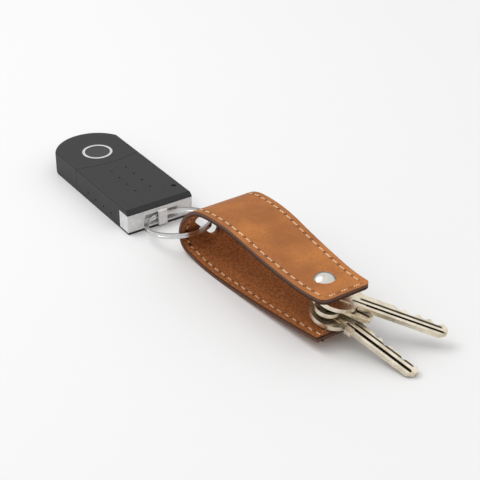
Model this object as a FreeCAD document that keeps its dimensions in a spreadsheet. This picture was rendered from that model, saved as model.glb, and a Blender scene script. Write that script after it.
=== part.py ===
import FreeCAD, Part
import math
import os
import re

# Key organiser: a folded leather strap closed by a screw post that carries three keys, with a
# split ring through the hole in its fold and a car remote hanging on the ring.
# Frame: X along the strap towards the keys, Y across it, Z up from the surface that it lies on.

SIZES = {
    # whole object: place of the strap's fold relative to the frame's origin
    "fold_x": -9.7484, "fold_y": -1.9875, "strap_turn": -1.78,
    # leather strap
    "leather_thick": 1.2, "lining_thick": 1.0,
    "strap_long": 94.0, "strap_width": 30.4, "strap_end_width": 22.8, "strap_bulge": 0.85, "strap_corner": 3.6,
    "upper_end_height": 25.48, "upper_end_heading": 191.16,
    "lip_radius": 71.1, "lip_turn": 13.83,
    "sag_radius": 290.9, "sag_turn": 6.33,
    "crest_radius": 88.9, "crest_turn": 18.11,
    "brow_radius": 23.41, "brow_turn": 64.13,
    "fold_radius": 7.27, "fold_turn": 102.61,
    "heel_radius": 42.6, "heel_turn": 5.39,
    "belly_radius": 86.1, "belly_turn": 11.8,
    "tail_radius": 900.0, "tail_turn": 4.13,
    "ring_slot_radius": 3.0, "ring_slot_low_y": 1.1, "ring_slot_low_z": 7.5,
    "ring_slot_high_y": -6.3, "ring_slot_high_z": 15.3,
    # stitching
    "stitch_edge": 2.6, "stitch_pitch": 4.7, "stitch_long": 3.6, "stitch_wide": 0.7, "stitch_deep": 0.4,
    # screw post
    "post_x": 79.6, "post_radius": 2.0, "post_head_radius": 4.4, "post_head_thick": 1.9,
    "post_low": 3.85, "post_high": 24.12, "post_hole_gap": 0.1,
    "screw_radius": 1.2, "screw_long": 7.0, "screw_slot_wide": 1.0, "screw_slot_deep": 0.7,
    # keys
    "key_thick": 1.9, "key_hole_radius": 3.0, "key_groove_deep": 0.5,
    "key_axis_lean": 7.0,
    "upper_bow_radius": 9.8, "upper_bow_ahead": 5.4, "upper_reach": 49.8, "upper_blade_wide": 7.4,
    "upper_height": 18.8, "upper_heading": 41.4, "upper_droop": 9.6,
    "middle_lobe_radius": 5.2, "middle_bow_ahead": 4.4, "middle_reach": 20.5, "middle_blade_wide": 5.6,
    "middle_height": 15.15, "middle_heading": 28.0, "middle_droop": 6.1,
    "lower_bow_radius": 9.4, "lower_bow_ahead": 5.0, "lower_reach": 46.3, "lower_blade_wide": 6.6,
    "lower_height": 11.6, "lower_heading": 12.5, "lower_droop": 6.0,
    # split ring
    "ring_radius": 14.3, "ring_band": 1.4, "ring_turn_high": 1.1,
    "ring_ahead": 13.6, "ring_aside": 1.2, "ring_height": 7.4, "ring_tilt_x": -0.15, "ring_tilt_y": 0.0,
    # car remote
    "remote_long": 79.0, "remote_wide": 33.0, "remote_high": 11.6, "remote_arc_rise": 10.0,
    "remote_turn": -2.5, "remote_end_x": -25.52, "remote_end_y": -9.52,
    "seam_side": 48.2, "seam_bulge": 3.0, "seam_gap": 0.1,
    "floor_thick": 1.0, "wall_thick": 1.4, "cover_low": 9.4, "cover_bevel": 2.0,
    "insert_long": 7.5, "insert_low": 1.1, "insert_high": 9.3,
    "bar_aside": 0.6, "bar_wide": 4.2, "bar_out": 1.6, "bar_thick": 0.9, "bar_web": 0.8,
    "slot_wide": 4.2, "slot_low": 1.9, "slot_high": 7.2, "slot_deep": 3.0, "slot_flare": 1.9,
    "blade_long": 52.0, "blade_wide": 7.0, "blade_thick": 2.0, "blade_gap": 0.3, "blade_mid_z": 6.2,
    "guide_wall": 1.2, "web_long": 2.0, "web_high": 8.2, "ledge_wide": 2.6,
    "badge_ahead": 21.2, "badge_radius": 7.1, "badge_disc_radius": 5.9, "badge_thick": 0.9,
    "pin_x": 9.6, "pin_y": 12.9, "pin_radius": 1.05, "pin_long": 2.2,
    "pin_flange_radius": 1.7, "pin_flange_thick": 0.4,
    "dimple_radius": 0.45, "dimple_first": 15.1, "dimple_step": 7.3, "dimple_row": 3.8,
    "button_long": 9.0, "button_wide": 13.0, "button_thick": 2.2, "button_first": 13.0,
    "button_step": 10.6, "button_gap": 0.2, "button_lift": 0.25,
    "board_thick": 0.8, "board_long": 34.0, "board_z": 3.4, "board_gap": 0.4, "mat_thick": 0.6,
    "cell_radius": 10.0, "cell_thick": 2.5, "cell_ahead": 20.0, "contact_thick": 0.3,
}

doc = FreeCAD.newDocument("key_organiser")
sheet = doc.addObject("Spreadsheet::Sheet", "sizes")
for row, (alias, value) in enumerate(SIZES.items(), start=1):
    sheet.set("A%d" % row, alias)
    sheet.set("B%d" % row, str(value))
    sheet.setAlias("B%d" % row, alias)
doc.recompute()

NODES = []
WORD = re.compile(r"\b(%s)\b" % "|".join(sorted(SIZES, key=len, reverse=True)))


def size(alias):
    """A driving dimension, read from the sheet."""
    return float(sheet.get(alias))


def bind(obj, **formulas):
    """Bind properties to formulas over the sheet's words; pos_x stands for Placement.Base.x."""
    for prop, formula in formulas.items():
        path = prop.replace("pos_", ".Placement.Base.")
        obj.setExpression(path, WORD.sub(r"sizes.\1", str(formula)))
    return obj


def block(name, length, width, height, x=0, y=0, z=0):
    """A box whose lowest corner is at x, y, z."""
    obj = doc.addObject("Part::Box", name)
    return bind(obj, Length=length, Width=width, Height=height, pos_x=x, pos_y=y, pos_z=z)


def rod(name, radius, height, x=0, y=0, z=0):
    """An upright cylinder standing at x, y, z."""
    obj = doc.addObject("Part::Cylinder", name)
    return bind(obj, Radius=radius, Height=height, pos_x=x, pos_y=y, pos_z=z)


def join(name, *parts):
    obj = doc.addObject("Part::MultiFuse", name)
    obj.Shapes = list(parts)
    return obj


def share(name, *parts):
    obj = doc.addObject("Part::MultiCommon", name)
    obj.Shapes = list(parts)
    return obj


def cut(name, base, *tools):
    obj = doc.addObject("Part::Cut", name)
    obj.Base = base
    obj.Tool = tools[0] if len(tools) == 1 else join(name + "_tools", *tools)
    return obj


def solid(name, shape):
    obj = doc.addObject("Part::Feature", name)
    obj.Shape = shape
    return obj


def ease(name, base, radius, pick, kind="Part::Fillet"):
    """Round or chamfer the edges that pick accepts."""
    doc.recompute()
    obj = doc.addObject(kind, name)
    obj.Base = base
    chosen = [i for i, edge in enumerate(base.Shape.Edges, start=1) if pick(edge)]
    obj.Edges = [(i, radius, radius) for i in chosen]
    return obj


def node(label, obj, place):
    """Name a finished piece and put it where it belongs."""
    if obj.isDerivedFrom("Part::Primitive"):
        plain = obj
        plain.Label = label + "_solid"
        obj = doc.addObject("Part::Compound", label + "_piece")
        obj.Links = [plain]
    obj.Placement = place
    obj.Label = label
    NODES.append(obj)


def turned(x, y, z, yaw):
    return FreeCAD.Placement(FreeCAD.Vector(x, y, z), FreeCAD.Rotation(FreeCAD.Vector(0, 0, 1), yaw))


STRAP = turned(size("fold_x"), size("fold_y"), 0, size("strap_turn"))
REMOTE = turned(size("fold_x") + size("remote_end_x"), size("fold_y") + size("remote_end_y"), 0,
                size("remote_turn"))


# ---------------------------------------------------------------- leather strap

# The strap's side view, as arcs walked from the upper leaf's end round the fold to the lower
# leaf's end: the radius is positive where the path turns left, towards the inside of the loop.
PATH = [("lip", -1), ("sag", -1), ("crest", 1), ("brow", 1), ("fold", 1), ("heel", -1), ("belly", 1),
        ("tail", 1)]


def walk(inset):
    """Points (start, middle, end) of each arc of the path, moved inwards by inset."""
    x, z = size("strap_long"), size("upper_end_height")
    heading = math.radians(size("upper_end_heading"))
    arcs = []
    for name, side in PATH:
        radius, turn = size(name + "_radius"), math.radians(size(name + "_turn"))
        centre = (x - side * radius * math.sin(heading), z + side * radius * math.cos(heading))
        reach = radius - side * inset
        points = []
        for share_of_turn in (0, 0.5, 1):
            angle = heading + side * turn * share_of_turn
            points.append(FreeCAD.Vector(centre[0] + side * reach * math.sin(angle), 0,
                                         centre[1] - side * reach * math.cos(angle)))
        arcs.append(points)
        heading += side * turn
        x = centre[0] + side * radius * math.sin(heading)
        z = centre[1] - side * radius * math.cos(heading)
    return arcs


def layer(inset, thick):
    """One leather layer at full width: the band between two insets of the path."""
    outer, inner = walk(inset), walk(inset + thick)
    edges = [Part.Arc(*points).toShape() for points in outer]
    edges.append(Part.LineSegment(outer[-1][2], inner[-1][2]).toShape())
    edges += [Part.Arc(*points).toShape() for points in inner]
    edges.append(Part.LineSegment(outer[0][0], inner[0][0]).toShape())
    face = Part.Face(Part.Wire(Part.__sortEdges__(edges)))
    face.translate(FreeCAD.Vector(0, -size("strap_width"), 0))
    return face.extrude(FreeCAD.Vector(0, 2 * size("strap_width"), 0))


FOLD_ROOM = 5.0  # the outline starts this far ahead of the local origin, clear of the fold


def half_width(x):
    """Half the strap's width at x: a taper with slightly bowed sides."""
    share_along = (x + FOLD_ROOM) / (size("strap_long") + FOLD_ROOM)
    taper = size("strap_width") + (size("strap_end_width") - size("strap_width")) * share_along
    return taper / 2 + size("strap_bulge") * 4 * share_along * (1 - share_along)


def plan():
    """The strap's outline from above: a taper with rounded corners at the leaf ends."""
    end, middle = size("strap_long"), (size("strap_long") - FOLD_ROOM) / 2
    sides = []
    for side in (-1, 1):
        points = [FreeCAD.Vector(x, side * half_width(x), -5) for x in (-FOLD_ROOM, middle, end)]
        sides.append(Part.Arc(*points).toShape())
    ends = [Part.LineSegment(FreeCAD.Vector(x, -half_width(x), -5), FreeCAD.Vector(x, half_width(x), -5)).toShape()
            for x in (-FOLD_ROOM, end)]
    prism = Part.Face(Part.Wire(Part.__sortEdges__(sides + ends))).extrude(FreeCAD.Vector(0, 0, 50))
    ends = [e for e in prism.Edges if e.Length > 49 and e.BoundBox.XMin > end - 1]
    return prism.makeFillet(size("strap_corner"), ends)


def slanted_slot():
    """The slot through the fold, which runs down towards the far side."""
    ends = []
    for word in ("low", "high"):
        end = rod("ring_slot_" + word, "ring_slot_radius", 20)
        end.Placement.Rotation = FreeCAD.Rotation(FreeCAD.Vector(0, 1, 0), 90)
        ends.append(bind(end, pos_x=-10, pos_y="ring_slot_%s_y" % word, pos_z="ring_slot_%s_z" % word))
    run = math.hypot(size("ring_slot_high_y") - size("ring_slot_low_y"),
                     size("ring_slot_high_z") - size("ring_slot_low_z"))
    slope = math.degrees(math.atan2(size("ring_slot_high_z") - size("ring_slot_low_z"),
                                    size("ring_slot_high_y") - size("ring_slot_low_y")))
    middle = Part.makeBox(20, run, 2 * size("ring_slot_radius"), FreeCAD.Vector(0, 0, -size("ring_slot_radius")))
    middle.Placement = FreeCAD.Placement(FreeCAD.Vector(-10, size("ring_slot_low_y"), size("ring_slot_low_z")),
                                         FreeCAD.Rotation(FreeCAD.Vector(1, 0, 0), slope))
    return join("ring_slot", solid("ring_slot_middle", middle), *ends)


def strap():
    outline = solid("strap_outline", plan())
    post_hole = rod("post_hole", "post_radius + post_hole_gap", 40, "post_x", 0, -5)
    ring_hole = slanted_slot()
    layers = [("strap_leather", 0, "leather_thick"), ("strap_lining", size("leather_thick"), "lining_thick")]
    for label, inset, thick in layers:
        band = solid(label + "_band", layer(inset, size(thick)))
        node(label, cut(label, share(label + "_plan", band, outline), post_hole, ring_hole), STRAP)


def along(arcs, spacing):
    """Evenly spaced (point, heading) pairs along a chain of arcs."""
    wire = Part.Wire([Part.Arc(*points).toShape() for points in arcs])
    count = int(wire.Length / spacing)
    points = wire.discretize(Number=count + 1)
    return [(a + (b - a) * 0.5, b - a) for a, b in zip(points, points[1:])]


def stitch_bar(centre, direction, inward):
    """One stitch, laid in the surface with its outer side flush."""
    wide, deep, long = size("stitch_wide"), size("stitch_deep"), size("stitch_long")
    bar = Part.makeBox(long, wide, deep, FreeCAD.Vector(-long / 2, -wide / 2, -deep))
    x_axis = FreeCAD.Vector(direction).normalize()
    z_axis = FreeCAD.Vector(inward).normalize() * -1
    y_axis = z_axis.cross(x_axis)
    bar.Placement = FreeCAD.Placement(centre, FreeCAD.Rotation(x_axis, y_axis, z_axis, "XZY"))
    return bar


def stitching():
    """Saddle stitches along both long edges, and across each leaf's end."""
    edge, end = size("stitch_edge"), size("strap_long")
    bars = []
    steps = along(walk(0.05), size("stitch_pitch"))
    for side in (-1, 1):
        for centre, heading in steps:
            if centre.x > end - edge - 1.2:
                continue
            half = half_width(centre.x) - edge
            inward = FreeCAD.Vector(-heading.z, 0, heading.x)
            bars.append(stitch_bar(centre + FreeCAD.Vector(0, side * half, 0), heading, inward))
    across = size("strap_end_width") - 2 * edge
    count = int(across / size("stitch_pitch"))
    nearest = [min(part, key=lambda step: abs(step[0].x - (end - edge)))
               for part in (steps[:len(steps) // 2], steps[len(steps) // 2:])]
    for centre, heading in nearest:
        inward = FreeCAD.Vector(-heading.z, 0, heading.x)
        for i in range(count):
            y = (i + 0.5) * across / count - across / 2
            spot = FreeCAD.Vector(centre.x, y, centre.z)
            bars.append(stitch_bar(spot, FreeCAD.Vector(0, 1, 0), inward))
    node("stitching", solid("stitching", Part.makeCompound(bars)), STRAP)


# ---------------------------------------------------------------- screw post

def dome(name, z, up):
    """A low domed head: a slice of a ball above a flat seat."""
    radius, thick = size("post_head_radius"), size("post_head_thick")
    ball = (radius * radius + thick * thick) / (2 * thick)
    rim = 0.5
    ball_centre = z + up * (rim + thick - rim - ball)
    sphere = Part.makeSphere(ball, FreeCAD.Vector(0, 0, ball_centre))
    blank = Part.makeCylinder(radius, thick, FreeCAD.Vector(0, 0, z), FreeCAD.Vector(0, 0, up))
    return solid(name, blank.common(sphere))


def screw_post():
    place = STRAP * turned(size("post_x"), 0, 0, 0)
    head = dome("post_head", size("post_high"), 1)
    barrel = rod("post_tube", "post_radius", "post_high - post_low", 0, 0, "post_low")
    bore = rod("post_bore", "screw_radius + 0.1", "screw_long + 0.6", 0, 0, "post_low - 0.1")
    node("post_barrel", cut("post_barrel", join("post_body", head, barrel), bore), place)

    foot = dome("screw_head", size("post_low"), -1)
    shank = rod("screw_shank", "screw_radius", "screw_long", 0, 0, "post_low - 0.2")
    slot = block("screw_slot", 12, "screw_slot_wide", "screw_slot_deep", -6, "-screw_slot_wide / 2",
                 "post_low - post_head_thick")
    node("post_screw", cut("post_screw", join("screw_body", foot, shank), slot), place)


# ---------------------------------------------------------------- keys

def key_place(name):
    """The key's rest place: on the post, turned to its heading and drooping towards its tip."""
    up = FreeCAD.Vector(0, 0, 1)
    lean = FreeCAD.Rotation(FreeCAD.Vector(0, 1, 0), size("key_axis_lean"))
    heading = FreeCAD.Rotation(up, size(name + "_heading"))
    droop = FreeCAD.Rotation(FreeCAD.Vector(0, 1, 0), size(name + "_droop"))
    base = FreeCAD.Vector(size("post_x"), 0, size(name + "_height"))
    return STRAP * FreeCAD.Placement(base, lean * heading * droop)


def key_blade(name, prefix, cuts):
    """A key's blade along +X from its bow, with its grooves and the cuts along one edge."""
    wide = prefix + "_blade_wide"
    blank = block(name + "_blank", prefix + "_reach", wide, "key_thick", 0, "-%s / 2" % wide, "-key_thick / 2")
    reach, half, thick = size(prefix + "_reach"), size(wide) / 2, size("key_thick")
    tools = []
    for i, (ahead, depth) in enumerate(cuts):
        notch = Part.makePolygon([FreeCAD.Vector(ahead - depth - 0.8, half + 0.01, -thick),
                                  FreeCAD.Vector(ahead - 0.4, half - depth, -thick),
                                  FreeCAD.Vector(ahead + 0.4, half - depth, -thick),
                                  FreeCAD.Vector(ahead + depth + 0.8, half + 0.01, -thick),
                                  FreeCAD.Vector(ahead - depth - 0.8, half + 0.01, -thick)])
        tools.append(solid("%s_cut_%d" % (name, i + 1), Part.Face(notch).extrude(FreeCAD.Vector(0, 0, 2 * thick))))
    for side in (-1, 1):
        tip = Part.makePolygon([FreeCAD.Vector(reach + 1, side * 0.4, -thick),
                                FreeCAD.Vector(reach + 1, side * (half + 1), -thick),
                                FreeCAD.Vector(reach - half - 0.4, side * (half + 1), -thick),
                                FreeCAD.Vector(reach + 1, side * 0.4, -thick)])
        tools.append(solid("%s_tip_%s" % (name, "near" if side < 0 else "far"),
                           Part.Face(tip).extrude(FreeCAD.Vector(0, 0, 2 * thick))))
        z = "key_thick / 2 - key_groove_deep" if side > 0 else "-key_thick / 2"
        y = "-%s / 4 - 0.5" % wide if side > 0 else "-0.4"
        tools.append(block("%s_groove_%s" % (name, "top" if side > 0 else "under"), prefix + "_reach", 1.1,
                           "key_groove_deep", 17, y, z))
    return cut(name + "_blade", blank, *tools)


def round_key(label, prefix, cuts, stop):
    """A key with a round dished bow; stop adds a shoulder on the blade's uncut side."""
    bow = rod(label + "_bow", prefix + "_bow_radius", "key_thick", prefix + "_bow_ahead", 0, "-key_thick / 2")
    dish = rod(label + "_dish", prefix + "_bow_radius - 2.2", "key_groove_deep", prefix + "_bow_ahead", 0,
               "key_thick / 2 - 0.35")
    hub = rod(label + "_hub", "key_hole_radius + 1.2", 3, 0, 0, "-1.5")
    blade = key_blade(label, prefix, cuts)
    parts = [cut(label + "_dished", bow, cut(label + "_dish_rim", dish, hub)), blade]
    if stop:
        parts.append(block(label + "_stop", 3.0, 3.0, "key_thick", "%s_bow_ahead + %s_bow_radius" % (prefix, prefix),
                           "-%s_blade_wide / 2 - 1.3" % prefix, "-key_thick / 2"))
    hole = rod(label + "_hole", "key_hole_radius", 6, 0, 0, -3)
    node(label, cut(label, join(label + "_body", *parts), hole), key_place(prefix))


def lobed_key(label, prefix, cuts):
    """A small key whose bow is three overlapping lobes."""
    lobes = []
    for i, angle in enumerate((100, 180, 260)):
        x = "%s_bow_ahead + %f * %s_lobe_radius" % (prefix, 0.75 * math.cos(math.radians(angle)), prefix)
        y = "%f * %s_lobe_radius" % (0.85 * math.sin(math.radians(angle)), prefix)
        lobes.append(rod("%s_lobe_%d" % (label, i + 1), prefix + "_lobe_radius", "key_thick", x, y, "-key_thick / 2"))
    hole = rod(label + "_hole", "key_hole_radius", 6, 0, 0, -3)
    body = join(label + "_body", key_blade(label, prefix, cuts), *lobes)
    node(label, cut(label, body, hole), key_place(prefix))


def keys():
    round_key("key_upper", "upper", [(30, 1.4), (35, 2.2), (40, 1.7), (45, 2.4)], False)
    lobed_key("key_middle", "middle", [(19, 0.9)])
    round_key("key_lower", "lower", [(25, 1.2), (29.5, 2.0), (34, 1.4), (38.5, 2.2), (43, 1.6)], True)


# ---------------------------------------------------------------- split ring

def ring_place():
    """The ring leans up from the remote's bar to the hole in the fold."""
    normal = FreeCAD.Vector(size("ring_tilt_x"), size("ring_tilt_y"), 0)
    normal.z = math.sqrt(1 - normal.Length ** 2)
    turn = FreeCAD.Rotation(FreeCAD.Vector(0, 0, 1), normal)
    centre = FreeCAD.Vector(size("ring_ahead"), size("ring_aside"), size("ring_height"))
    return REMOTE * FreeCAD.Placement(centre, turn)


def split_ring():
    """Two flat turns of wire lying on each other, with a groove where they meet."""
    body = doc.addObject("PartDesign::Body", "split_ring")
    sketch = body.newObject("Sketcher::SketchObject", "ring_section")
    plane = [f for f in body.Origin.OriginFeatures if f.Role == "XZ_Plane"][0]
    sketch.AttachmentSupport = [(plane, "")]
    sketch.MapMode = "FlatFace"
    inner = size("ring_radius") - size("ring_band") / 2
    band, high, groove = size("ring_band"), size("ring_turn_high"), 0.18
    outline = [(0, -high), (band, -high), (band, -groove), (band - groove, 0), (band, groove), (band, high),
               (0, high), (0, groove), (groove, 0), (0, -groove)]
    points = [FreeCAD.Vector(inner + x, z, 0) for x, z in outline]
    for start, stop in zip(points, points[1:] + points[:1]):
        sketch.addGeometry(Part.LineSegment(start, stop), False)
    turn = body.newObject("PartDesign::Revolution", "ring_turns")
    turn.Profile = sketch
    axis = [f for f in body.Origin.OriginFeatures if f.Role == "Z_Axis"][0]
    turn.ReferenceAxis = (axis, [""])
    turn.Angle = 360
    node("split_ring", body, ring_place())


# ---------------------------------------------------------------- car remote
# Local frame: the silver end's face is at x = 0, the rounded end at x = -remote_long.

def remote_outline(name, low, high, inset="0"):
    """A slab of the remote's plan, with its arc-shaped end, from z = low to z = high."""
    half, rise = size("remote_wide") / 2, size("remote_arc_rise")
    radius = (half * half + rise * rise) / (2 * rise)
    slab = block(name + "_slab", "remote_long + %f" % radius, "remote_wide - 2 * (%s)" % inset,
                 "(%s) - (%s)" % (high, low), "-remote_long - %f" % radius, "-remote_wide / 2 + (%s)" % inset, low)
    disc = rod(name + "_disc", "%f - (%s)" % (radius, inset), "(%s) - (%s)" % (high, low),
               "%f - remote_long" % radius, 0, low)
    straight = block(name + "_straight", "remote_long - %f" % radius, "remote_wide", "(%s) - (%s)" % (high, low),
                     "%f - remote_long" % radius, "-remote_wide / 2", low)
    return share(name, slab, join(name + "_span", disc, straight))


def seam(name, grow):
    """The drum whose side is the arc-shaped seam across the remote."""
    half, bulge = size("remote_wide") / 2, size("seam_bulge")
    radius = (half * half + bulge * bulge) / (2 * bulge)
    return rod(name, "%f + (%s)" % (radius, grow), 30, "%f - seam_side" % (bulge - radius), 0, -5)


def dimples(name, places, depth):
    """Small round pits, as rods to cut away."""
    return [rod("%s_%d" % (name, i + 1), "dimple_radius", depth, x, y, z) for i, (x, y, z) in enumerate(places)]


def shells():
    """Bottom plate, middle frame, top cover and the battery cap beyond the seam."""
    step = ["-dimple_first - %d * dimple_step" % i for i in range(4)]

    plate = remote_outline("plate_outline", "0", "floor_thick", "0.2")
    doors = [block("plate_door_%d" % (i + 1), "button_long", "button_wide", 5,
                   "-button_first - %d * button_step - button_long" % i, "-button_wide / 2", -2) for i in range(3)]
    node("remote_bottom_plate", cut("remote_bottom_plate", plate, *doors), REMOTE)

    frame = remote_outline("frame_outline", "floor_thick", "cover_low")
    cavity = block("frame_cavity", "remote_long", "remote_wide - 2 * wall_thick", "cover_low - floor_thick + 1",
                   "-remote_long + 2", "-remote_wide / 2 + wall_thick", "floor_thick")
    open_end = block("frame_open_end", "insert_long + 1", "remote_wide + 2", 20, "-insert_long",
                     "-remote_wide / 2 - 1", "-1")
    pits = []
    for i, x in enumerate(step):
        pit = rod("frame_pit_%d" % (i + 1), "dimple_radius", 0.3, x, "-remote_wide / 2 + 0.3", 4.0)
        pit.Placement.Rotation = FreeCAD.Rotation(FreeCAD.Vector(1, 0, 0), 90)
        pits.append(pit)
    frame_cut = cut("frame_cut", frame, cavity, open_end, seam("frame_seam", "seam_gap"), *pits)
    node("remote_frame", join("remote_frame", frame_cut, *frame_inside()), REMOTE)

    cover = remote_outline("cover_outline", "cover_low", "remote_high")
    places = [(x, "%d * dimple_row" % side, "remote_high - 0.3") for x in step for side in (-1, 1)]
    hole = rod("cover_pin_hole", "pin_radius + 0.1", 5, "-pin_x", "pin_y", "cover_low - 1")
    cover_cut = cut("cover_cut", cover, seam("cover_seam", "seam_gap"), hole,
                    *dimples("cover_pit", places, 1))
    top = size("remote_high")

    def end_edge(edge):
        box = edge.BoundBox
        return box.XMin > -0.01 and box.ZMin > top - 0.01

    bevelled = ease("cover_bevelled", cover_cut, size("cover_bevel") - 0.2, end_edge, "Part::Chamfer")

    def side_edge(edge):
        box = edge.BoundBox
        return box.ZMin > top - 0.01 and box.XLength > 20

    node("remote_top_cover", ease("remote_top_cover", bevelled, 0.7, side_edge), REMOTE)

    cap = share("cap_outline", remote_outline("cap_span", "floor_thick", "remote_high"),
                seam("cap_seam", "-seam_gap"))
    hollow = remote_outline("cap_hollow", "floor_thick - 1", "cover_low", "wall_thick")
    seat = rod("badge_seat", "badge_radius + 0.05", 5, "badge_ahead - remote_long", 0,
               "remote_high + 0.2 - badge_thick")
    capped = cut("cap_cut", cap, hollow, seat)

    def rim_edge(edge):
        box = edge.BoundBox
        return box.ZMin > top - 0.01 and box.XMin < -size("seam_side") - 1 and edge.Length > 14.5 \
            and box.YLength < 34 and abs(box.XLength - 2 * size("badge_radius")) > 0.5

    node("remote_end_cap", ease("remote_end_cap", capped, 0.7, rim_edge), REMOTE)


def frame_inside():
    """Ledges that carry the board, and the tunnel that guides the spare blade, on two webs."""
    low, long = "floor_thick", "board_long"
    start = "-insert_long - board_long - web_long"
    ledges = [block("ledge_" + word, long, "ledge_wide", "board_z - mat_thick - floor_thick",
                    "-insert_long - board_long - web_long", y, low)
              for word, y in (("near", "-remote_wide / 2 + wall_thick - 0.1"),
                              ("far", "remote_wide / 2 - wall_thick - ledge_wide + 0.1"))]
    guide_low = "board_z + board_thick + 0.1"
    webs = [block("web_" + word, "web_long", "remote_wide - wall_thick", "web_high - (%s)" % guide_low, x,
                  "-(remote_wide - wall_thick) / 2", guide_low)
            for word, x in (("rear", start), ("front", "-insert_long - web_long"))]
    tunnel = block("guide_block", "board_long + web_long", "blade_wide + 2 * blade_gap + 2 * guide_wall",
                   "web_high - (%s)" % guide_low, start, "-blade_wide / 2 - blade_gap - guide_wall", guide_low)
    way = block("guide_way", "board_long + 10", "blade_wide + 2 * blade_gap", "blade_thick + 2 * blade_gap",
                "-insert_long - board_long - 5", "-blade_wide / 2 - blade_gap",
                "blade_mid_z - blade_thick / 2 - blade_gap")
    return ledges + [cut("guide", join("guide_body", tunnel, *webs), way)]


def badge():
    """A plain bright ring round a plain dark disc."""
    x, z = "badge_ahead - remote_long", "remote_high + 0.2 - badge_thick"
    outer = rod("badge_blank", "badge_radius", "badge_thick", x, 0, z)
    inner = rod("badge_bore", "badge_disc_radius + 0.02", 5, x, 0, z)
    node("badge_ring", cut("badge_ring", outer, inner), REMOTE)
    node("badge_disc", rod("badge_disc", "badge_disc_radius", "badge_thick - 0.3", x, 0, z), REMOTE)


def aux_key():
    """The silver end piece with its ring bar, and the spare blade that it carries."""
    width, window = "remote_wide - 0.1", "slot_high - slot_low"
    head = block("insert_block", "insert_long - 0.1", width, "insert_high - insert_low", "-insert_long + 0.1",
                 "-(%s) / 2" % width, "insert_low")
    lug = block("bar_lug", "bar_out + 1", "bar_wide", "%s + 2 * bar_web" % window, -1, "bar_aside - bar_wide / 2",
                "slot_low - bar_web")
    behind = block("bar_window", "bar_out - bar_thick + slot_deep", "bar_wide + 2 * slot_wide", window,
                   "-slot_deep", "bar_aside - bar_wide / 2 - slot_wide", "slot_low")
    tools = [behind]
    for side, word in ((-1, "near"), (1, "far")):
        inner = size("bar_aside") + side * (size("bar_wide") / 2 + size("slot_wide"))
        flare = size("slot_flare")
        corners = [(1, inner - side), (1, inner + side * (flare + 1)), (-flare - 1, inner - side),
                   (1, inner - side)]
        wedge = Part.makePolygon([FreeCAD.Vector(x, y, size("slot_low")) for x, y in corners])
        tools.append(solid("flare_" + word,
                           Part.Face(wedge).extrude(FreeCAD.Vector(0, 0, size("slot_high") - size("slot_low")))))
    node("aux_key_head", cut("aux_key_head", join("insert_body", head, lug), *tools), REMOTE)

    blade = block("aux_blade_blank", "blade_long", "blade_wide", "blade_thick", "-insert_long - blade_long + 0.1",
                  "-blade_wide / 2", "blade_mid_z - blade_thick / 2")
    groove = block("aux_blade_groove", "blade_long", 1.6, 0.5, "-insert_long - blade_long", "-0.8",
                   "blade_mid_z + blade_thick / 2 - 0.5")
    node("aux_key_blade", cut("aux_key_blade", blade, groove), REMOTE)


def electronics():
    """Circuit board, rubber key mat, coin cell, its contact, the antenna and three buttons."""
    wide = "remote_wide - 2 * wall_thick - 2 * board_gap"
    x = "-insert_long - board_long - web_long"
    for label, thick, z in (("circuit_board", "board_thick", "board_z"),
                            ("button_mat", "mat_thick", "board_z - mat_thick")):
        node(label, block(label, "board_long", wide, thick, x, "-(%s) / 2" % wide, z), REMOTE)
    cell_x = "cell_ahead - remote_long"
    node("coin_cell", rod("coin_cell", "cell_radius", "cell_thick", cell_x, 0, "floor_thick"), REMOTE)
    contact = block("battery_contact", "remote_long - cell_ahead + 4 - insert_long - board_long - web_long", 5,
                    "contact_thick", cell_x + " - 4", -2.5, "floor_thick + cell_thick")
    node("battery_contact", contact, REMOTE)
    node("antenna_coil", block("antenna_coil", 8, 3, 2.6, "-insert_long - 14", "remote_wide / 2 - wall_thick - 4.5",
                               "board_z + board_thick"), REMOTE)
    for i, word in enumerate(("front", "middle", "rear")):
        pad = block("button_" + word, "button_long - 2 * button_gap", "button_wide - 2 * button_gap",
                    "button_thick", "-button_first - %d * button_step - button_long + button_gap" % i,
                    "-button_wide / 2 + button_gap", "button_lift")
        node("remote_button_" + word, pad, REMOTE)
    stem = rod("pin_stem", "pin_radius", "pin_long", "-pin_x", "pin_y", "cover_low - 0.05 - pin_flange_thick")
    flange = rod("pin_flange", "pin_flange_radius", "pin_flange_thick", "-pin_x", "pin_y",
                 "cover_low - 0.05 - pin_flange_thick")
    node("release_pin", join("release_pin", stem, flange), REMOTE)


strap()
stitching()
screw_post()
keys()
split_ring()
shells()
badge()
aux_key()
electronics()
doc.recompute()

for obj in doc.Objects:
    if "Invalid" in obj.State or "Error" in obj.State:
        raise RuntimeError("%s failed: %s" % (obj.Name, obj.State))
for obj in NODES:
    if obj.Shape.isNull() or not obj.Shape.isValid():
        raise RuntimeError("%s has no valid shape" % obj.Label)

os.makedirs("parts", exist_ok=True)
for obj in NODES:
    obj.Shape.exportStep("parts/%s.step" % obj.Label)
    box = obj.Shape.BoundBox
    print("%-22s volume %9.1f  x %7.1f %7.1f  y %7.1f %7.1f  z %6.2f %6.2f" % (
        obj.Label, obj.Shape.Volume, box.XMin, box.XMax, box.YMin, box.YMax, box.ZMin, box.ZMax))
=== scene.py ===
import math

import bmesh
import bpy
from mathutils import Matrix, Vector, bvhtree


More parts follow.
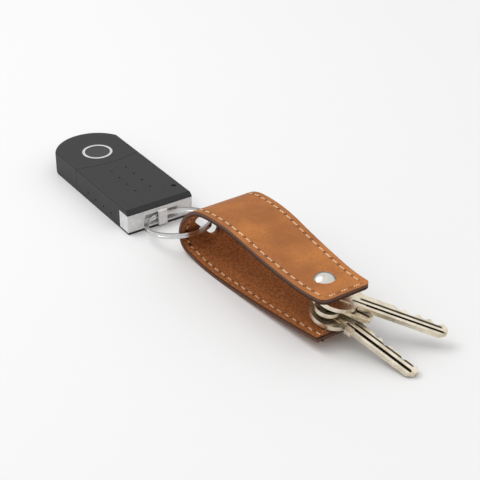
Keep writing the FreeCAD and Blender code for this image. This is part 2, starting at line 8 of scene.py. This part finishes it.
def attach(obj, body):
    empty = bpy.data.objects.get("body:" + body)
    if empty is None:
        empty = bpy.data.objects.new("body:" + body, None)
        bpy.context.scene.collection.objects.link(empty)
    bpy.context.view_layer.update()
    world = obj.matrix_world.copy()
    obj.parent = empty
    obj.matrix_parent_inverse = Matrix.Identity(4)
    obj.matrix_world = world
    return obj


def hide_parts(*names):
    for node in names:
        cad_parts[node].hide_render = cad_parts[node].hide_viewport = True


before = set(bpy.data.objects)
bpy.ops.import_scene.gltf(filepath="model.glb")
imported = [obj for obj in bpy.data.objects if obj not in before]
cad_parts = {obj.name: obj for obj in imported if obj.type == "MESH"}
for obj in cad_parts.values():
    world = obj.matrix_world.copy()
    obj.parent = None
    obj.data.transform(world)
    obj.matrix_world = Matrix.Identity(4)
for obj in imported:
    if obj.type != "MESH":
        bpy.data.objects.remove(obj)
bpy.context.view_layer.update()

MM = 0.001
DEG = math.pi / 180
scene = bpy.context.scene

# ---------------------------------------------------------------- camera

CAMERA = {"azimuth": 53.8, "elevation": 31.24, "distance": 0.56816, "target": (-0.00387, 0.00929, 0.0),
          "lens": 97.5}


def make_camera():
    a, e = CAMERA["azimuth"] * DEG, CAMERA["elevation"] * DEG
    back = Vector((math.sin(a) * math.cos(e), -math.cos(a) * math.cos(e), math.sin(e)))
    data = bpy.data.cameras.new("camera")
    data.lens, data.sensor_width = CAMERA["lens"], 36
    data.clip_start, data.clip_end = 0.01, 20
    cam = bpy.data.objects.new("camera", data)
    cam.location = Vector(CAMERA["target"]) + back * CAMERA["distance"]
    cam.rotation_mode = "QUATERNION"
    cam.rotation_quaternion = (-back).to_track_quat("-Z", "Y")
    scene.collection.objects.link(cam)
    scene.camera = cam


# ---------------------------------------------------------------- meshes

def build(name, bm, material, body, sharp=35, replaces=()):
    """Turn a bmesh in millimetres (row frame) into a piece that rides on a body."""
    bmesh.ops.scale(bm, vec=(MM, MM, MM), verts=bm.verts)
    bmesh.ops.recalc_face_normals(bm, faces=bm.faces)
    for edge in bm.edges:
        if len(edge.link_faces) == 2:
            edge.smooth = edge.calc_face_angle(0) < sharp * DEG
    for face in bm.faces:
        face.smooth = True
    mesh = bpy.data.meshes.new(name)
    bm.to_mesh(mesh)
    bm.free()
    mesh.materials.append(material)
    obj = bpy.data.objects.new(name, mesh)
    scene.collection.objects.link(obj)
    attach(obj, body)
    if replaces:
        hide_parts(*replaces)
    return obj


def loft(bm, rings, cap=True):
    """Quads between rings of equal length, with the first and last ring filled."""
    layers = [[bm.verts.new(p) for p in ring] for ring in rings]
    count = len(layers[0])
    for a, b in zip(layers, layers[1:]):
        for i in range(count):
            bm.faces.new((a[i], a[(i + 1) % count], b[(i + 1) % count], b[i]))
    if cap:
        bm.faces.new(layers[0])
        bm.faces.new(layers[-1])
    return layers


# ---------------------------------------------------------------- stage

def make_stage():
    bm = bmesh.new()
    bmesh.ops.create_grid(bm, x_segments=1, y_segments=1, size=4)
    mesh = bpy.data.meshes.new("floor")
    bm.to_mesh(mesh)
    bm.free()
    floor = bpy.data.objects.new("floor", mesh)
    scene.collection.objects.link(floor)
    mat = bpy.data.materials.new("floor")
    mat.use_nodes = True
    bsdf = mat.node_tree.nodes["Principled BSDF"]
    bsdf.inputs["Base Color"].default_value = (0.79, 0.79, 0.79, 1)
    bsdf.inputs["Roughness"].default_value = 0.9
    bsdf.inputs["Specular IOR Level"].default_value = 0.1
    mesh.materials.append(mat)

    world = bpy.data.worlds.new("studio")
    scene.world = world
    world.use_nodes = True
    tree = world.node_tree
    coords = tree.nodes.new("ShaderNodeTexCoord")
    parts = tree.nodes.new("ShaderNodeSeparateXYZ")
    band = tree.nodes.new("ShaderNodeMapRange")
    band.interpolation_type = "SMOOTHSTEP"
    tree.nodes["Background"].inputs[0].default_value = (1, 1, 1, 1)
    for key, value in (("From Min", 0.12), ("From Max", 0.5), ("To Min", 0.18), ("To Max", 1.0)):
        band.inputs[key].default_value = value
    tree.links.new(coords.outputs["Generated"], parts.inputs[0])
    tree.links.new(parts.outputs[2], band.inputs["Value"])
    tree.links.new(band.outputs["Result"], tree.nodes["Background"].inputs[1])
    for name, at, size, power in (("key_light", (-0.5, -0.4, 1.0), 0.7, 5.0),):
        light = bpy.data.lights.new(name, "AREA")
        light.shape, light.size, light.energy = "SQUARE", size, power
        obj = bpy.data.objects.new(name, light)
        obj.location = at
        obj.rotation_mode = "QUATERNION"
        obj.rotation_quaternion = (-Vector(at)).to_track_quat("-Z", "Y")
        scene.collection.objects.link(obj)
    scene.view_settings.view_transform = "Standard"


# ---------------------------------------------------------------- materials

def lin(r, g, b):
    """A display colour, 0 to 255, as linear values."""
    return tuple(((c / 255 + 0.055) / 1.055) ** 2.4 for c in (r, g, b)) + (1,)


class Look:
    """A procedural material, built one node at a time."""

    def __init__(self, name, rough, metal=0.0, spec=0.5):
        self.mat = bpy.data.materials.new(name)
        self.mat.use_nodes = True
        self.tree = self.mat.node_tree
        self.bsdf = self.tree.nodes["Principled BSDF"]
        self.set(self.bsdf, "Roughness", rough)
        self.set(self.bsdf, "Metallic", metal)
        self.set(self.bsdf, "Specular IOR Level", spec)
        self.coords = self.tree.nodes.new("ShaderNodeTexCoord")
        self.place = self.coords.outputs["Object"]
        self.bumped = None

    def set(self, node, key, value):
        if isinstance(value, bpy.types.NodeSocket):
            self.tree.links.new(value, node.inputs[key])
        else:
            node.inputs[key].default_value = value

    def math(self, op, a, b=0.0, c=0.0):
        node = self.tree.nodes.new("ShaderNodeMath")
        node.operation = op
        for i, value in enumerate((a, b, c)):
            self.set(node, i, value)
        return node.outputs[0]

    def noise(self, per_mm, detail=3.0, stretch=None):
        node = self.tree.nodes.new("ShaderNodeTexNoise")
        place = self.place
        if stretch:
            scale = self.tree.nodes.new("ShaderNodeVectorMath")
            scale.operation = "MULTIPLY"
            self.set(scale, 0, self.place)
            self.set(scale, 1, stretch)
            place = scale.outputs[0]
        self.set(node, "Vector", place)
        self.set(node, "Scale", per_mm / MM)
        self.set(node, "Detail", detail)
        return node.outputs["Fac"]

    def cells(self, per_mm):
        node = self.tree.nodes.new("ShaderNodeTexVoronoi")
        self.set(node, "Vector", self.place)
        self.set(node, "Scale", per_mm / MM)
        return node.outputs["Distance"]

    def ramp(self, fac, low, high, start=0.0, stop=1.0):
        """A value that runs smoothly from low to high while fac runs from start to stop."""
        node = self.tree.nodes.new("ShaderNodeMapRange")
        node.interpolation_type = "SMOOTHSTEP"
        ends = (("From Min", start), ("From Max", stop), ("To Min", low), ("To Max", high))
        for key, value in (("Value", fac),) + ends:
            self.set(node, key, value)
        return node.outputs["Result"]

    def mix(self, fac, a, b):
        node = self.tree.nodes.new("ShaderNodeMix")
        node.data_type = "RGBA"
        self.set(node, 0, fac)
        self.set(node, 6, a)
        self.set(node, 7, b)
        return node.outputs[2]

    def parts(self, vector):
        node = self.tree.nodes.new("ShaderNodeSeparateXYZ")
        self.set(node, 0, vector)
        return node.outputs

    def bump(self, height, mm, strength=1.0):
        node = self.tree.nodes.new("ShaderNodeBump")
        self.set(node, "Height", height)
        self.set(node, "Distance", mm * MM)
        self.set(node, "Strength", strength)
        if self.bumped:
            self.set(node, "Normal", self.bumped)
        self.bumped = node.outputs["Normal"]
        self.set(self.bsdf, "Normal", self.bumped)

    def colour(self, value):
        self.set(self.bsdf, "Base Color", value)

    def rough(self, value):
        self.set(self.bsdf, "Roughness", value)


def cut_edge(look):
    """1 on the strap's long sides and leaf ends, 0 on its faces."""
    normal = look.parts(look.coords.outputs["Normal"])
    place = look.parts(look.place)
    side = look.ramp(look.math("ABSOLUTE", normal[1]), 0, 1, 0.45, 0.75)
    end = look.math("MULTIPLY", look.ramp(normal[0], 0, 1, 0.45, 0.75), look.ramp(place[0], 0, 1, 0.076, 0.079))
    return look.math("MAXIMUM", side, end)


def leather():
    look = Look("leather", 0.5, spec=0.35)
    cloudy = look.mix(look.ramp(look.noise(0.06, 4), 0, 1, 0.3, 0.7), lin(152, 88, 32), lin(182, 112, 46))
    fine = look.mix(look.ramp(look.noise(1.1, 5), 0, 0.5, 0.45, 0.75), cloudy, lin(132, 74, 26))
    edge = cut_edge(look)
    look.colour(look.mix(edge, fine, lin(92, 58, 40)))
    look.rough(look.ramp(look.noise(0.8), 0.42, 0.58))
    look.bump(look.cells(1.6), 0.035, 0.45)
    look.bump(look.noise(3.5, 4), 0.03, 0.5)
    return look.mat


def suede():
    look = Look("suede", 0.95, spec=0.1)
    nap = look.mix(look.ramp(look.noise(0.9, 6), 0, 1, 0.3, 0.7), lin(128, 74, 38), lin(170, 106, 62))
    edge = cut_edge(look)
    look.colour(look.mix(edge, nap, lin(62, 44, 38)))
    look.set(look.bsdf, "Sheen Weight", 0.35)
    look.set(look.bsdf, "Sheen Tint", lin(190, 130, 85))
    look.bump(look.noise(1.2, 6), 0.30, 0.7)
    look.bump(look.noise(5.0, 3), 0.08, 0.6)
    return look.mat


def thread():
    look = Look("thread", 0.7, spec=0.2)
    look.colour(look.mix(look.ramp(look.noise(2.0), 0, 1, 0.35, 0.65), lin(214, 178, 140), lin(246, 222, 190)))
    look.bump(look.noise(9.0, 2), 0.05, 0.6)
    return look.mat


def plated(name, tone, rough):
    look = Look(name, rough, metal=1.0)
    lighter = lin(*[min(255, c + 12) for c in tone])
    look.colour(look.mix(look.ramp(look.noise(0.35, 4), 0, 1, 0.3, 0.7), lin(*tone), lighter))
    look.rough(look.ramp(look.noise(1.5, 5), rough * 0.7, rough * 1.4))
    look.bump(look.noise(0.6, 2), 0.02, 0.3)
    return look.mat


def key_metal(name, to_key, grooves):
    """Worn nickel silver with milled grooves, coloured darker inside the grooves as painted shade; each groove
    is (side, width, start, stop) in mm.
    """
    look = Look(name, 0.3, metal=1.0)
    node = look.tree.nodes.new("ShaderNodeMapping")
    look.set(node, "Vector", look.place)
    look.set(node, "Location", tuple(to_key.translation))
    look.set(node, "Rotation", tuple(to_key.to_euler("XYZ")))
    u, v, _ = look.parts(node.outputs[0])
    groove = 0.0
    for side, width, start, stop in grooves:
        off = look.math("ABSOLUTE", look.math("SUBTRACT", v, side * MM))
        band = look.ramp(off, 1, 0, width * 0.35 * MM, width * 0.6 * MM)
        ahead = look.ramp(u, 0, 1, start * MM, (start + 1.2) * MM)
        short = look.ramp(u, 1, 0, (stop - 1.2) * MM, stop * MM)
        groove = look.math("MAXIMUM", groove, look.math("MULTIPLY", band, look.math("MULTIPLY", ahead, short)))
    worn = look.mix(look.ramp(look.noise(0.25, 5), 0, 1, 0.3, 0.7), lin(216, 204, 182), lin(240, 230, 212))
    # Painted shade: the groove bands are coloured dark brown-grey in place of the shade inside the recesses.
    look.colour(look.mix(groove, worn, lin(70, 62, 50)))
    look.rough(look.ramp(look.noise(0.9, 5), 0.2, 0.42))
    look.bump(look.math("SUBTRACT", 1.0, groove), 0.5, 1.0)
    look.bump(look.noise(1.0, 4, (1, 6, 1)), 0.02, 0.4)
    return look.mat


def plastic(name, tone, rough, grain, depth=0.03):
    look = Look(name, rough, spec=0.4)
    dark = lin(*[c * 0.93 for c in tone])
    look.colour(look.mix(look.ramp(look.noise(0.5, 3), 0, 1, 0.3, 0.7), dark, lin(*tone)))
    look.rough(look.ramp(look.noise(1.2, 4), rough * 0.85, min(1, rough * 1.15)))
    look.bump(look.noise(grain, 3), depth, 0.5)
    return look.mat


# ---------------------------------------------------------------- stitches

def bars_of(node):
    """The centre, direction and thin axis, in mm, of each bar in the stitching mesh."""
    bm = bmesh.new()
    bm.from_mesh(node.data)
    bm.transform(node.matrix_world)
    bmesh.ops.remove_doubles(bm, verts=bm.verts, dist=0.002 * MM)
    left, bars = set(bm.verts), []
    while left:
        grown = [left.pop()]
        island = list(grown)
        while grown:
            for edge in grown.pop().link_edges:
                for vert in edge.verts:
                    if vert in left:
                        left.remove(vert)
                        grown.append(vert)
                        island.append(vert)
        points = [v.co / MM for v in island]
        centre = sum(points, Vector()) / len(points)
        edges = {e for v in island for e in v.link_edges}
        vectors = sorted((((e.verts[1].co - e.verts[0].co) / MM) for e in edges), key=lambda d: d.length)
        long = next(d for d in vectors if d.length > 2.5).normalized()
        square = [d.normalized() for d in vectors if abs(d.normalized().dot(long)) < 0.2]
        bars.append((centre, long, square[0] if square else long.orthogonal().normalized()))
    bm.free()
    return bars


def inward(bars, body):
    """Turn each thin axis so that it points into the leather."""
    tree = bvhtree.BVHTree.FromObject(body, bpy.context.evaluated_depsgraph_get())
    out = []
    for centre, long, thin in bars:
        near = [tree.find_nearest((centre + thin * side * 1.6) * MM)[3] for side in (1, -1)]
        out.append((centre, long, thin if near[0] < near[1] else -thin))
    return out


def circle(steps):
    return [2 * math.pi * k / steps for k in range(steps)]


def twisted(bm, centre, long, deep, length):
    """Two plies twisted round each other, flattened, with both ends dipping into their holes."""
    across = long.cross(deep).normalized()
    for ply in (0, math.pi):
        rings = []
        for i in range(STITCH["steps"] + 1):
            t = i / STITCH["steps"]
            dip = STITCH["dip"] * abs(2 * t - 1) ** 4
            angle = ply + t * STITCH["twist"]
            middle = centre + long * (t - 0.5) * length + deep * dip
            middle += across * STITCH["orbit"] * math.cos(angle)
            middle += deep * STITCH["orbit"] * STITCH["orbit_flat"] * math.sin(angle)
            rings.append([middle + across * STITCH["ply"] * math.cos(a)
                          + deep * STITCH["ply"] * STITCH["ply_flat"] * math.sin(a) for a in circle(8)])
        loft(bm, rings)


def hole(bm, centre, long, deep):
    """Painted shade at one of the stitch holes: a dark oval, a thin lens that stands just proud of the leather
    in place of the shade inside the pit.
    """
    across = long.cross(deep).normalized()
    rings = []
    for reach, down in ((1.0, 0.06), (0.9, -0.02), (0.6, 0.01), (0.25, 0.03)):
        rings.append([centre + long * reach * STITCH["hole_long"] * math.cos(a)
                      + across * reach * STITCH["hole_wide"] * math.sin(a) + deep * down
                      for a in circle(14)])
    loft(bm, rings)


def surface(layer, spot, way):
    """The point where a line along way, started outside, meets the layer; spot itself if it misses."""
    found = layer.ray_cast((spot - way * 4) * MM, way)[0]
    return found / MM if found and (found / MM - spot).length < 3.2 else spot


STITCH = {"steps": 16, "dip": 0.24, "twist": 9.0, "orbit": 0.22, "ply": 0.3, "long": 3.7, "pitch": 4.7,
          "hole_long": 0.75, "hole_wide": 0.6, "sunk": 0.17, "slant": 0.06,
          "orbit_flat": 0.5, "ply_flat": 0.6}


def make_stitches(materials):
    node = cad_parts["stitching"]
    bars = inward(bars_of(node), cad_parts["strap_lining"])
    graph = bpy.context.evaluated_depsgraph_get()
    outer, inner = [bvhtree.BVHTree.FromObject(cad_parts[n], graph)
                    for n in ("strap_leather", "strap_lining")]
    threads, holes = bmesh.new(), bmesh.new()
    for centre, long, deep in bars:
        slant = (long + long.cross(deep) * STITCH["slant"]).normalized()
        for layer, way in ((outer, deep), (inner, -deep)):
            start = surface(layer, centre, way)
            twisted(threads, start + way * STITCH["sunk"], slant, way, STITCH["long"])
            for side in (1, -1):
                # Painted-shade ovals either side of each stitch, standing in for the shade inside the awl
                # holes.
                spot = surface(layer, centre + long * side * STITCH["pitch"] / 2, way)
                hole(holes, spot, long, way)
    build("stitch_thread", threads, materials["thread"], "strap", 60, ("stitching",))
    # The dark ovals are painted shade for the stitch holes, not a colour of the leather.
    build("stitch_holes", holes, materials["hole"], "strap", 60)


# ---------------------------------------------------------------- everything

def to_key(name):
    """From the place of a key node's mesh to that key's own axes."""
    heading, droop, height = KEYS[name]
    turn = Matrix.Rotation(STRAP["turn"] * DEG, 4, "Z")
    hub = Matrix.Translation(Vector((*STRAP["fold"], 0)) * MM) @ turn
    lean = Matrix.Rotation(STRAP["lean"] * DEG, 4, "Y")
    aim = Matrix.Rotation(heading * DEG, 4, "Z") @ Matrix.Rotation(droop * DEG, 4, "Y")
    key = hub @ Matrix.Translation(Vector((STRAP["post"], 0, height)) * MM) @ lean @ aim
    return key.inverted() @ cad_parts[name].matrix_world


# The strap's place, turn and post in mm and degrees, and each key's heading, droop and height.
STRAP = {"fold": (-9.7484, -1.9875), "turn": -1.78, "post": 79.6, "lean": 7}
KEYS = {"key_upper": (41.4, 9.6, 18.8), "key_middle": (28.0, 6.1, 15.15), "key_lower": (12.5, 6.0, 11.6)}
GROOVES = {"key_upper": [(-1.6, 0.9, 11, 49), (0.7, 1.1, 14, 48)], "key_middle": [(0, 1.2, 9, 20)],
           "key_lower": [(-1.2, 1.0, 12, 45), (1.3, 0.8, 14, 44)]}
EASE = {"key_upper": 0.35, "key_middle": 0.35, "key_lower": 0.35, "split_ring": 0.22, "post_barrel": 0.25,
        "post_screw": 0.2, "badge_ring": 0.1, "strap_leather": 0.25, "strap_lining": 0.2, "aux_key_head": 0.25,
        "remote_top_cover": 0.25, "remote_bottom_plate": 0.15, "remote_end_cap": 0.25, "remote_frame": 0.15}


def make_materials():
    mats = {"strap_leather": leather(), "strap_lining": suede(), "thread": thread(),
            # Near-black brown used as painted shade inside the stitch holes.
            "hole": plastic("stitch_hole", (30, 20, 16), 0.9, 2.0),
            "post": plated("nickel", (205, 202, 196), 0.12),
            "split_ring": plated("spring_steel", (205, 205, 205), 0.16),
            "black": plastic("black_plastic", (36, 36, 38), 0.5, 6.0),
            "silver": plastic("silver_plastic", (226, 226, 226), 0.38, 3.0),
            "badge_ring": plated("badge_bright", (215, 215, 215), 0.15),
            "badge_disc": plastic("badge_dark", (40, 40, 42), 0.3, 1.5),
            "steel": plated("steel", (165, 165, 163), 0.28), "board": plastic("board", (30, 92, 50), 0.5, 1.0),
            "rubber": plastic("rubber", (48, 48, 50), 0.8, 4.0),
            "ferrite": plastic("ferrite", (60, 54, 52), 0.7, 2.0)}
    for name, grooves in GROOVES.items():
        mats[name] = key_metal(name + "_metal", to_key(name), grooves)
    return mats


USES = {"post_barrel": "post", "post_screw": "post", "stitching": "thread", "aux_key_head": "silver",
        "aux_key_blade": "steel", "coin_cell": "steel", "battery_contact": "steel", "circuit_board": "board",
        "antenna_coil": "ferrite", "button_mat": "rubber", "remote_button_front": "rubber",
        "remote_button_middle": "rubber", "remote_button_rear": "rubber"}


def dress(materials):
    for name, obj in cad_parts.items():
        obj.data.materials.clear()
        obj.data.materials.append(materials[USES.get(name, name if name in materials else "black")])
        if name in EASE:
            mod = obj.modifiers.new("ease", "BEVEL")
            mod.width, mod.segments = EASE[name] * MM, 2
            mod.limit_method, mod.angle_limit = "ANGLE", 38 * DEG
            mod.harden_normals = True


make_camera()
make_stage()
materials = make_materials()
make_stitches(materials)
dress(materials)
